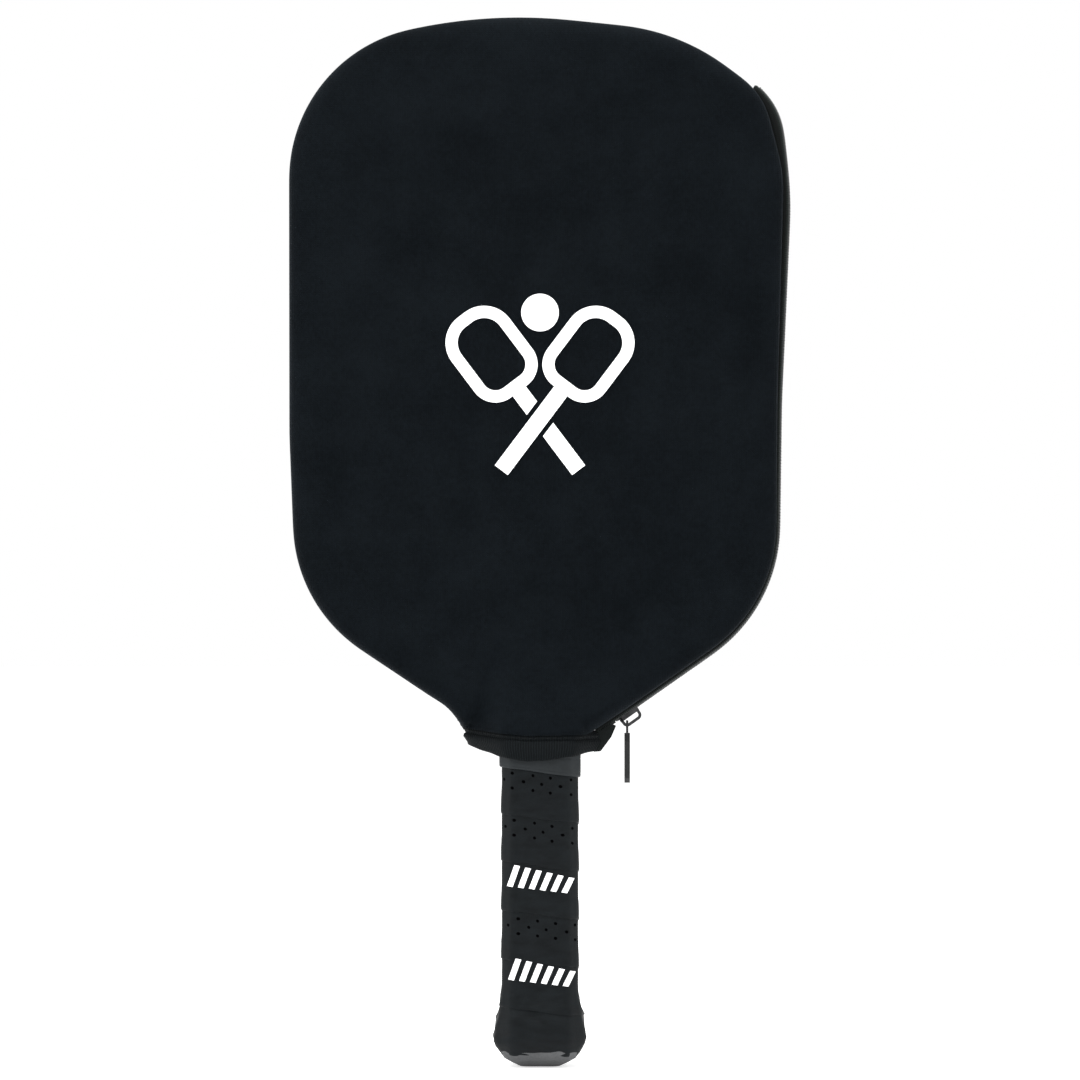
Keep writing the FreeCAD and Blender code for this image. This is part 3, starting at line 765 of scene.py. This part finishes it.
def in_space(flat, depth, side):
    """Points (x, z) put at a depth on one side."""
    flat = np.asarray(flat)
    return np.column_stack([flat[:, 0], side * np.broadcast_to(depth, len(flat)), flat[:, 1]])


# Seam

CORD_INSET = 1.7 * MM
CORD_RADIUS = 0.75 * MM
THREAD_REACH = 1.0 * MM
THREAD_RADIUS = 0.2 * MM


def build_seam(outline, zipped, on_mouth):
    """The sewn edge: a cord of seam allowance in the groove, and the stitches that cross it."""
    sewn = [i for i in range(len(outline)) if zipped[i] < 0.4 and not on_mouth[i]]
    way, _ = inward(outline)
    path = smoothed(np.array([outline[i] + way[i] * CORD_INSET for i in sewn]), 4)
    cord = tube("side_seam_cord", in_space(path, 0.0, FRONT), CORD_RADIUS)
    places = spaced(path - np.array([way[i] for i in sewn]) * CORD_RADIUS, STITCH_PITCH)
    lean = np.roll(places, -1, axis=0) * 0.35 + places * 0.65
    stitches = bars("side_seam_thread", in_space(places, THREAD_REACH, FRONT)[1:-1],
                    in_space(lean, THREAD_REACH, BACK)[1:-1], THREAD_RADIUS)
    made = joined("side_seam_stitched", [cord, stitches])
    stand_for(made, LOOKS["seam_tape"], "seam_tape", "side_seam")


# Zip

def zip_line(outline, zipped):
    """The tape's outer face beside each outline point on the zip's stretch, found on the CAD tape."""
    tape = tree("front_zip_tape")
    columns, face = [], []
    for i in range(len(outline)):
        if zipped[i] < 0.3:
            continue
        way = outline[i] - HUB
        angle = math.atan2(way[0], -way[1])
        reach = outer_reach(tape, angle, 4.0 * MM)
        if reach:
            columns.append(i)
            face.append(HUB + reach * way / np.linalg.norm(way))
    face = smoothed(np.array(face), 4)
    from_bulge = (lengths_along(face) - END_BULGE_AT) / END_BULGE_REACH
    swell = ZIP_SWELL + END_BULGE * np.exp(-from_bulge ** 2)
    return columns, face + outward(face) * swell[:, None]


def normals_2d(line):
    """Unit normals of an open line (x, z), on its right-hand side when it runs down the zip."""
    along = np.gradient(line, axis=0)
    along /= np.linalg.norm(along, axis=1)[:, None]
    return np.column_stack([-along[:, 1], along[:, 0]])


def outward(line):
    normal = normals_2d(line)
    away = line - HUB
    return normal * np.sign((normal * away).sum(axis=1))[:, None]


# The tape's section in mm: (inset from the outline, depth), then (distance proud of its CAD face, depth).
TAPE_UNDER_LIP = ((4.2, 6.2), (2.0, 6.1), (0.5, 6.0))
TAPE_OUTSIDE = ((-0.75, 6.0), (-0.3, 5.4), (-0.05, 4.4), (0.05, 3.2), (0.05, 2.4), (0.0, 1.7))


def build_tape(outline, zipped, side):
    """One zip tape: sewn under the panel's lip, then curving out and round to the coil."""
    columns, face = zip_line(outline, zipped)
    way, _ = inward(outline)
    lip = outline[columns]
    into = way[columns]
    out = outward(face)
    rows = [in_space(lip + into * inset * MM, depth * MM, side) for inset, depth in TAPE_UNDER_LIP]
    rows += [in_space(face + out * proud * MM, depth * MM, side) for proud, depth in TAPE_OUTSIDE]
    points = np.stack(rows)
    along = lengths_along(face) / MM
    across = lengths_along(points[:, len(columns) // 2]) / MM
    uv = np.stack(np.meshgrid(along, across), axis=2)
    tape = grid_object(SIDE_NAMES[side] + "_zip_tape_woven", points, uv=uv)
    solid = tape.modifiers.new("thickness", "SOLIDIFY")
    solid.thickness = TAPE_THICKNESS
    solid.offset = -1.0 if side == FRONT else 1.0
    name = SIDE_NAMES[side] + "_zip_tape"
    stand_for(tape, LOOKS["zip_tape"], "zip_tape", name)


def coil_line(outline, zipped):
    """The coil's middle line: along the tape, over the stretch that the CAD coil covers."""
    _, face = zip_line(outline, zipped)
    low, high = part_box("front_zip_coil")
    centre = face - outward(face) * 0.35 * MM
    below_stop = centre[:, 1] < high.z - 0.8 * MM
    past_neck = (centre[:, 0] > low.x + 0.7 * MM) | (centre[:, 1] > high.z / 2)
    kept = below_stop & past_neck
    return spaced(centre[kept], 0.156 * MM)


def build_coil(line, side):
    """One half of the chain: a nylon wire wound in flat loops, half a pitch out of step with the other."""
    at = lengths_along(line)
    phase = 2 * math.pi * at / COIL_PITCH + (math.pi if side == BACK else 0.0)
    out = outward(line)
    height = COIL_SWING * np.cos(phase)
    depth = 0.82 * MM + 0.86 * MM * np.sin(phase)
    flat = line + out * height[:, None]
    points = np.column_stack([flat[:, 0], side * depth, flat[:, 1]])
    name = SIDE_NAMES[side] + "_zip_coil"
    stand_for(tube(name + "_wound", points, COIL_WIRE), LOOKS["zip_coil"], "zip_coil", name)


# Neck binding

def mouth_path():
    """The binding's outer line round the front of the mouth, left to right, as (x, depth)."""
    target = tree("front_neck_binding")
    low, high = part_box("front_neck_binding")
    height = high.z - 2.2 * MM
    centre = np.array([(low.x + high.x) / 2, 0.0])
    points = []
    for turn in np.linspace(0.0, math.pi, 240):
        way = np.array([-math.cos(turn), -math.sin(turn)])
        start = centre + way * 0.1
        hit = first_hit(target, (start[0], start[1], height), (-way[0], -way[1], 0))
        if hit is not None and hit.y < -0.3 * MM:
            points.append((hit.x, -hit.y))
    return smoothed(spaced(points, 0.9 * MM), 9)


def lower_edge(path):
    """How low the binding hangs at each point of its path."""
    target = tree("front_neck_binding")
    low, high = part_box("front_neck_binding")
    centre = np.array([(low.x + high.x) / 2, 0.0])
    out = np.full(len(path), np.nan)
    for i, point in enumerate(path):
        inside = point + (centre - point) / np.linalg.norm(centre - point) * 1.1 * MM
        hit = first_hit(target, (inside[0], -inside[1], 0.0), (0, 0, 1))
        if hit is not None:
            out[i] = hit.z
    known = ~np.isnan(out)
    return smoothed(np.interp(np.arange(len(path)), np.flatnonzero(known), out[known]), 12)


# The binding's section, from under the panel's edge down over the hem and the ribbed band and up inside:
# (level, rise from it, distance proud of the frame's binding), in mm.
BINDING_SECTION = (("top", 1.2, -2.7), ("top", 0.8, -1.5), ("top", 0.2, -0.75), ("top", -0.5, -0.4),
                   ("top", -1.5, -0.35), ("top", -1.85, -0.75), ("top", -2.15, -0.7), ("top", -2.45, -0.05),
                   ("top", -3.2, 0.12), ("mid", 0.0, 0.18), ("low", 1.3, 0.15), ("low", 0.5, -0.05),
                   ("low", 0.05, -0.5),
                   ("low", 0.0, -1.2), ("low", 0.4, -1.9), ("low", 1.4, -2.2), ("top", -2.0, -2.5))
BINDING_DRAFT = 0.95


def build_binding(side):
    """A ribbed band folded over the mouth's edge, with a narrow hem above it."""
    path = mouth_path()
    foot = lower_edge(path)
    along = np.gradient(path, axis=0)
    along /= np.linalg.norm(along, axis=1)[:, None]
    out = np.column_stack([-along[:, 1], along[:, 0]])
    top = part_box("front_neck_binding")[1].z + mouth_rise(path[:, 0])
    wave = 0.12 * MM * np.sin(lengths_along(path) / MM * 0.55)
    rows = []
    for level, rise, proud in BINDING_SECTION:
        base = {"top": top, "mid": (top + foot) / 2, "low": foot + wave}[level]
        flat = path + out * proud * MM
        if level == "low":
            flat[:, 0] *= BINDING_DRAFT
        rows.append(np.column_stack([flat[:, 0], side * flat[:, 1], base + rise * MM]))
    points = np.stack(rows)
    across = lengths_along(points[:, len(path) // 2]) / MM
    uv = np.stack(np.meshgrid(lengths_along(path) / MM, across), axis=2)
    name = SIDE_NAMES[side] + "_neck_binding"
    band = grid_object(name + "_ribbed", points, closed_rows=True, uv=uv, flip=side == BACK)
    stand_for(band, LOOKS["binding"], "binding", name)
    stitch_line(path, out, top, side)


def stitch_line(path, out, top, side):
    """The row of stitches along the hem."""
    line = np.column_stack([path + out * -0.42 * MM, top - 1.0 * MM])
    flat = spaced(line, STITCH_PITCH)
    starts = np.column_stack([flat[:, 0], side * flat[:, 1], flat[:, 2]])
    ends = starts[:-1] * 0.38 + starts[1:] * 0.62
    made = bars(SIDE_NAMES[side] + "_hem_stitches", starts[:-1], ends, 0.12 * MM)
    paint(made, LOOKS["hem_thread"])
    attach(made, "root")


# Handle

def radius_map(target, angles, heights):
    """How far a node's outside is from the handle's axis, for each height and angle (0 faces the front)."""
    out = np.zeros((len(heights), len(angles)))
    for r, height in enumerate(heights):
        for c, angle in enumerate(angles):
            way = (math.sin(angle), -math.cos(angle))
            hit = first_hit(target, (way[0] * 0.1, way[1] * 0.1, height), (-way[0], -way[1], 0))
            out[r, c] = math.hypot(hit.x, hit.y) if hit is not None else np.nan
    for c in range(len(angles)):
        known = ~np.isnan(out[:, c])
        out[:, c] = np.interp(heights, np.array(heights)[known], out[known, c])
    return out


def rounded_map(target, heights, count=120, passes=2):
    """The same with the octagon's corners softened, as an (angles, radii) pair."""
    angles = np.arange(count) * 2 * math.pi / count
    radii = radius_map(target, angles, heights)
    return angles, np.stack([smoothed(row, passes, closed=True) for row in radii])


def looked_up(angles, heights, radii, angle, height):
    """Radii at any angle and height, between the map's own."""
    step = 2 * math.pi / len(angles)
    place = (angle / step) % len(angles)
    c = np.floor(place).astype(int) % len(angles)
    c2 = (c + 1) % len(angles)
    part = place - np.floor(place)
    row = np.interp(height, heights, np.arange(len(heights)))
    r = np.clip(np.floor(row).astype(int), 0, len(heights) - 2)
    rise = row - r
    low = radii[r, c] * (1 - part) + radii[r, c2] * part
    high = radii[r + 1, c] * (1 - part) + radii[r + 1, c2] * part
    return low * (1 - rise) + high * rise


def on_handle(angle, height, radius):
    return np.stack([radius * np.sin(angle), -radius * np.cos(angle), height], axis=-1)


# Creases pulled round the flare of the butt: angle (deg), height, slope (mm per radian), half length (deg),
# half width and height (mm).
CREASES = ((-38, 27.5, 5.0, 26, 0.9, 0.5), (2, 23.5, -3.5, 24, 1.0, 0.45), (10, 15.6, -3.2, 62, 1.1, 0.75),
           (-30, 12.0, 3.0, 30, 0.9, 0.5), (35, 10.4, -2.0, 34, 0.9, 0.45), (95, 20.0, -6.0, 40, 1.1, 0.6),
           (150, 14.0, 4.0, 45, 1.0, 0.6), (185, 25.0, -4.0, 30, 1.0, 0.5), (240, 18.0, 5.0, 45, 1.1, 0.6),
           (285, 11.5, -3.0, 35, 0.9, 0.5), (200, 10.5, 2.5, 40, 0.9, 0.4))
CREASE_STRENGTH = 1.3


def crease_height(angle, height):
    out = np.zeros_like(angle)
    for at, level, slope, reach, width, rise in CREASES:
        turn = (angle - math.radians(at) + math.pi) % (2 * math.pi) - math.pi
        off_line = height / MM - level - slope * turn
        across = np.exp(-(off_line / width) ** 2)
        out += CREASE_STRENGTH * rise * MM * across * np.exp(-(turn / math.radians(reach)) ** 4)
    return out


# The wrap's section: (distance up from its lower edge, height over the turn below it), both in mm.
WRAP_SECTION = ((0.25, -0.5), (0.02, -0.15), (0.0, 0.12), (0.18, 0.34), (0.6, 0.42), (1.5, 0.42), (3.4, 0.4),
                (5.4, 0.34), (7.2, 0.22), (9.0, 0.08), (11.5, 0.02), (14.0, 0.0), (17.0, 0.0), (20.0, -0.02),
                (22.5, -0.08), (25.0, -0.2))
PUNCHED_TURNS = (1, 2, 4)


def build_overgrip():
    """One long strip wound down the handle, each turn's lower edge lying over the turn below it."""
    low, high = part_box("overgrip")
    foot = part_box("butt_cap")[0].z + WRAP_FOOT
    heights = np.concatenate([np.linspace(foot, low.z + 24 * MM, 20), [high.z - 1 * MM]])
    angles, radii = rounded_map(tree("overgrip", "butt_cap"), heights)
    radii[:-1] = np.stack([smoothed(column, 2) for column in radii[:-1].T]).T
    first_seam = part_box("grip_collar")[1].z - 10.4 * MM
    turns = (first_seam - foot + 30 * MM) / WRAP_PITCH
    count = int(turns * WRAP_STEPS)
    angle = -0.9 * math.pi + np.arange(count) * 2 * math.pi / WRAP_STEPS
    slack = 2.5 * MM * np.sin(angle) - 0.89 * MM * np.sin(2 * angle)
    slack += 0.25 * MM * np.sin(1.71 * angle + 1.0) + 0.2 * MM * np.sin(0.63 * angle)
    seam = first_seam - WRAP_PITCH * angle / (2 * math.pi) + slack
    section = np.array(WRAP_SECTION) * MM
    height = seam[None, :] + section[:, :1]
    height = np.clip(height, foot, high.z)
    wide = np.broadcast_to(angle[None, :], height.shape)
    radius = looked_up(angles, heights, radii, wide, height) - 0.15 * MM + section[:, 1:]
    pulled = smooth_noise(wide * 14 * MM, height * 1.6, 5, 9 * MM) * 0.05 * MM
    near_butt = np.clip((low.z + 26 * MM - height) / (12 * MM), 0, 1)
    above_foot = np.clip((height - foot) / FOOT_FADE, 0, 1)
    radius = radius + (pulled * (1.5 + 3 * near_butt) + crease_height(wide, height)) * above_foot
    radius = radius - TUCK_DEPTH * np.clip((foot + WRAP_TUCK - height) / WRAP_TUCK, 0, 1) ** 2
    points = on_handle(wide, height, radius)
    along = angle * 15.0
    uv = np.stack(np.meshgrid(along, section[:, 0] / MM), axis=2)
    wrap = grid_object("overgrip_wound", points, uv=uv, flip=True)
    turn_number = np.floor((angle + math.pi) / (2 * math.pi)).astype(int)
    punched = np.isin(turn_number, PUNCHED_TURNS).astype(np.float32)
    layer = wrap.data.attributes.new("punched", "FLOAT", "POINT")
    layer.data.foreach_set("value", np.tile(punched, len(section)))
    stand_for(wrap, LOOKS["overgrip"], "overgrip", "overgrip")
    return wrap


def ring_piece(name, target_node, profile, slot, lean):
    """A band round the handle from a profile of (height, proud of the CAD node), both in metres.
    Its lower edge leans down to the right by lean each way."""
    low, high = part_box(target_node)
    heights = np.linspace(low.z + 0.3 * MM, high.z - 0.3 * MM, 6)
    angles, radii = rounded_map(tree(target_node), heights)
    rows = []
    for height, proud in profile:
        level = height + lean * (high.z - height) / (high.z - low.z) * -np.sin(angles)
        rows.append(on_handle(angles, level, looked_up(angles, heights, radii, angles, level) + proud))
    made = grid_object(name, np.stack(rows), closed_columns=True, flip=True)
    stand_for(made, LOOKS[slot], slot, target_node)


COLLAR_LEAN = 2.4 * MM


def build_collar():
    """The rubber band that holds the wrap's end, with two shallow grooves."""
    low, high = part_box("grip_collar")
    profile = [(low.z + 0.3 * MM, -0.9 * MM), (low.z, -0.2 * MM), (low.z + 0.25 * MM, 0.3 * MM)]
    for step in np.linspace(0.08, 0.92, 30):
        groove = 0.12 * MM * sum(math.exp(-((step - at) / 0.02) ** 2) for at in (0.12, 0.55))
        profile.append((low.z + step * (high.z - low.z), 0.42 * MM - groove))
    profile += [(high.z - 0.2 * MM, 0.25 * MM), (high.z, -0.5 * MM)]
    ring_piece("grip_collar_band", "grip_collar", profile, "collar", COLLAR_LEAN)


# The cap's end face from its middle outwards: (share of the foot's radius, rise from the floor in mm).
CAP_RECESS = ((0.02, 0.8), (0.3, 0.8), (0.56, 0.8), (0.62, 0.65), (0.64, 0.2), (0.68, 0.02), (0.85, 0.0))
CAP_LEVELS = (0.05, 0.8, 1.5, 2.5, 3.5, 4.8, 6.0, 8.0, 10.0, 12.0, 18.0, 24.0, 29.0)


def build_butt_cap():
    """The moulded cap: a rounded foot with a shallow round recess in its end face."""
    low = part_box("butt_cap")[0]
    heights = np.array(CAP_LEVELS) * MM + low.z
    angles, radii = rounded_map(tree("butt_cap"), heights, passes=8)
    rows = []
    for share, rise in CAP_RECESS:
        rows.append(on_handle(angles, np.full(len(angles), low.z + rise * MM), radii[0] * share))
    for height in heights:
        level = np.full(len(angles), height)
        rows.append(on_handle(angles, level, looked_up(angles, heights, radii, angles, level)))
    made = grid_object("butt_cap_moulded", np.stack(rows), closed_columns=True, flip=True)
    stand_for(made, LOOKS["cap"], "cap", "butt_cap")


def build_grip_print(wrap):
    """Two groups of slanted bars printed on the wrap, following its surface."""
    mesh = wrap.data
    places = [v.co.copy() for v in mesh.vertices]
    skin = BVHTree.FromPolygons(places, [tuple(p.vertices) for p in mesh.polygons])
    low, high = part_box("grip_print")
    parts = []
    for centre_z, shift in ((high.z - 6.3 * MM, 0.3 * MM), (low.z + 6.3 * MM, 0.8 * MM)):
        for i in range(6):
            centre_x = (i - 2.5) * 4.4 * MM + shift
            tall = (4.5 - 0.25 * i) * MM
            along = np.linspace(-1, 1, 13)
            across = np.linspace(-1.15, 1.15, 6) * MM
            points = np.zeros((13, 6, 3))
            for r, share in enumerate(along):
                for c, off in enumerate(across):
                    x = centre_x + off + share * 1.5 * MM
                    z = centre_z - 0.17 * x + share * tall
                    hit = first_hit(skin, (x, -0.1, z), (0, 1, 0))
                    points[r, c] = (x, hit.y - 0.09 * MM, z)
            parts.append(grid_object("bar", points, flip=True))
    made = joined("grip_print_bars", parts)
    solid = made.modifiers.new("film", "SOLIDIFY")
    solid.thickness = 0.1 * MM
    stand_for(made, LOOKS["grip_print"], "print", "grip_print")


# Carried-over CAD nodes

CAD_LOOKS = {
    "zip_end_stop": ("zip_stop", 0.8), "zip_neck_stops": ("zip_metal", 0.25),
    "zip_end_tab": ("end_tape", 0.5),
    "slider_body": ("zip_metal", 0.35), "slider_bail": ("zip_metal", 0.28), "pull_tab": ("pull", 0.3),
    "front_emblem": ("print", 0.0), "paddle_core": ("core", 0.0), "front_face_sheet": ("carbon_face", 0.0),
    "back_face_sheet": ("carbon_face", 0.0), "edge_guard": ("guard", 0.4),
    "front_handle_pallet": ("foam", 0.0),
    "back_handle_pallet": ("foam", 0.0), "base_grip": ("base_grip", 0.0),
}


def finish_cad_nodes():
    """Materials for the kept CAD nodes, and softened edges on the cast and moulded ones."""
    for node, (look, edge) in CAD_LOOKS.items():
        made = NODES[node]
        paint(made, LOOKS[look])
        if edge:
            bevel = made.modifiers.new("soft_edges", "BEVEL")
            bevel.width = edge * MM
            bevel.segments = 3
            bevel.limit_method = "ANGLE"
            bevel.angle_limit = math.radians(32)
            bevel.harden_normals = True


# Camera, floor and light

# In heights of the object: how far the camera is, how high it looks, and how tall the picture is.
CAMERA_DISTANCE = 6.0
CAMERA_RISE = 0.5017
PICTURE_HEIGHT = 1.0317


def build_camera():
    """A long lens square to the front, at half the object's height."""
    low, high = CAD_BOX
    height = high.z - low.z
    distance = CAMERA_DISTANCE * height
    data = bpy.data.cameras.new("camera")
    data.sensor_width = 36.0
    data.lens = data.sensor_width * distance / (PICTURE_HEIGHT * height)
    data.clip_end = 50.0
    camera = placed("camera", data)
    camera.location = (0.0, -distance, low.z + CAMERA_RISE * height)
    camera.rotation_euler = (math.radians(90), 0, 0)
    bpy.context.scene.camera = camera


# The floor's light and its extra whiteness to the camera, its half width in metres, and the room's light.
FLOOR_GLOW = 0.25
FLOOR_WHITENESS = 0.35
FLOOR_HALF = 8.0
SURROUNDINGS = 0.55


def build_floor():
    """A pale floor, a little brighter to the camera than the light it gives."""
    low = CAD_BOX[0]
    level = low.z - 0.4 * MM
    ends = (-FLOOR_HALF, FLOOR_HALF)
    corners = np.array([[(x, y, level) for y in ends] for x in ends])
    floor = grid_object("floor", corners)
    s = Shader("pale_paper", Roughness=0.9)
    s.surface.inputs["Emission Color"].default_value = (1.0, 1.0, 1.0, 1.0)
    seen = s.add("ShaderNodeLightPath").outputs["Is Camera Ray"]
    s.wire("Emission Strength", s.math("MULTIPLY_ADD", seen, FLOOR_WHITENESS, FLOOR_GLOW))
    cloud = s.noise(s.place(), 60.0, 4.0)
    s.wire("Base Color", s.ramp(cloud, (0.3, (0.88, 0.88, 0.88)), (0.7, (0.92, 0.92, 0.92))))
    paint(floor, s.material)


def area_light(name, place, size, power, aim):
    data = bpy.data.lights.new(name, "AREA")
    data.shape = "RECTANGLE"
    data.size, data.size_y = size
    data.energy = power
    light = placed(name, data)
    light.location = place
    light.rotation_euler = (Vector(aim) - Vector(place)).to_track_quat("-Z", "Y").to_euler()


def build_light():
    middle = (0.0, 0.0, (CAD_BOX[0].z + CAD_BOX[1].z) / 2)
    area_light("key", (-0.9, -1.5, 1.5), (1.2, 1.2), 26.0, middle)
    area_light("fill", (1.2, -1.6, 0.8), (1.2, 1.4), 10.0, middle)
    area_light("left_edge", (-1.6, -0.1, 0.5), (0.5, 1.6), 12.0, middle)
    area_light("right_edge", (1.6, 0.0, 0.5), (0.5, 1.6), 9.0, middle)
    area_light("above", (0.0, -0.3, 1.9), (1.4, 0.8), 52.0, middle)
    world = bpy.data.worlds.new("studio")
    world.use_nodes = True
    nodes = world.node_tree.nodes
    background = nodes["Background"]
    background.inputs["Color"].default_value = (1.0, 1.0, 1.0, 1.0)
    seen = nodes.new("ShaderNodeLightPath")
    strength = nodes.new("ShaderNodeMapRange")
    strength.inputs["To Min"].default_value = SURROUNDINGS
    strength.inputs["To Max"].default_value = 1.0
    world.node_tree.links.new(seen.outputs["Is Camera Ray"], strength.inputs["Value"])
    world.node_tree.links.new(strength.outputs["Result"], background.inputs["Strength"])
    bpy.context.scene.world = world
    bpy.context.scene.view_settings.view_transform = "Standard"


def build_cover():
    outline, on_mouth = make_outline()
    zipped = zip_share(outline, on_mouth)
    surface = panel_surface(outline, on_mouth, zipped)
    for side, seed in ((FRONT, 3), (BACK, 8)):
        name = SIDE_NAMES[side] + "_panel"
        panel = panel_object(name + "_stretched", surface, side, seed)
        stand_for(panel, LOOKS["neoprene"], "neoprene", name)
        build_tape(outline, zipped, side)
        build_coil(coil_line(outline, zipped), side)
        build_binding(side)
    build_seam(outline, zipped, on_mouth)


build_camera()
build_cover()
wound = build_overgrip()
build_grip_print(wound)
build_collar()
build_butt_cap()
finish_cad_nodes()
build_floor()
build_light()

bpy.context.view_layer.update()
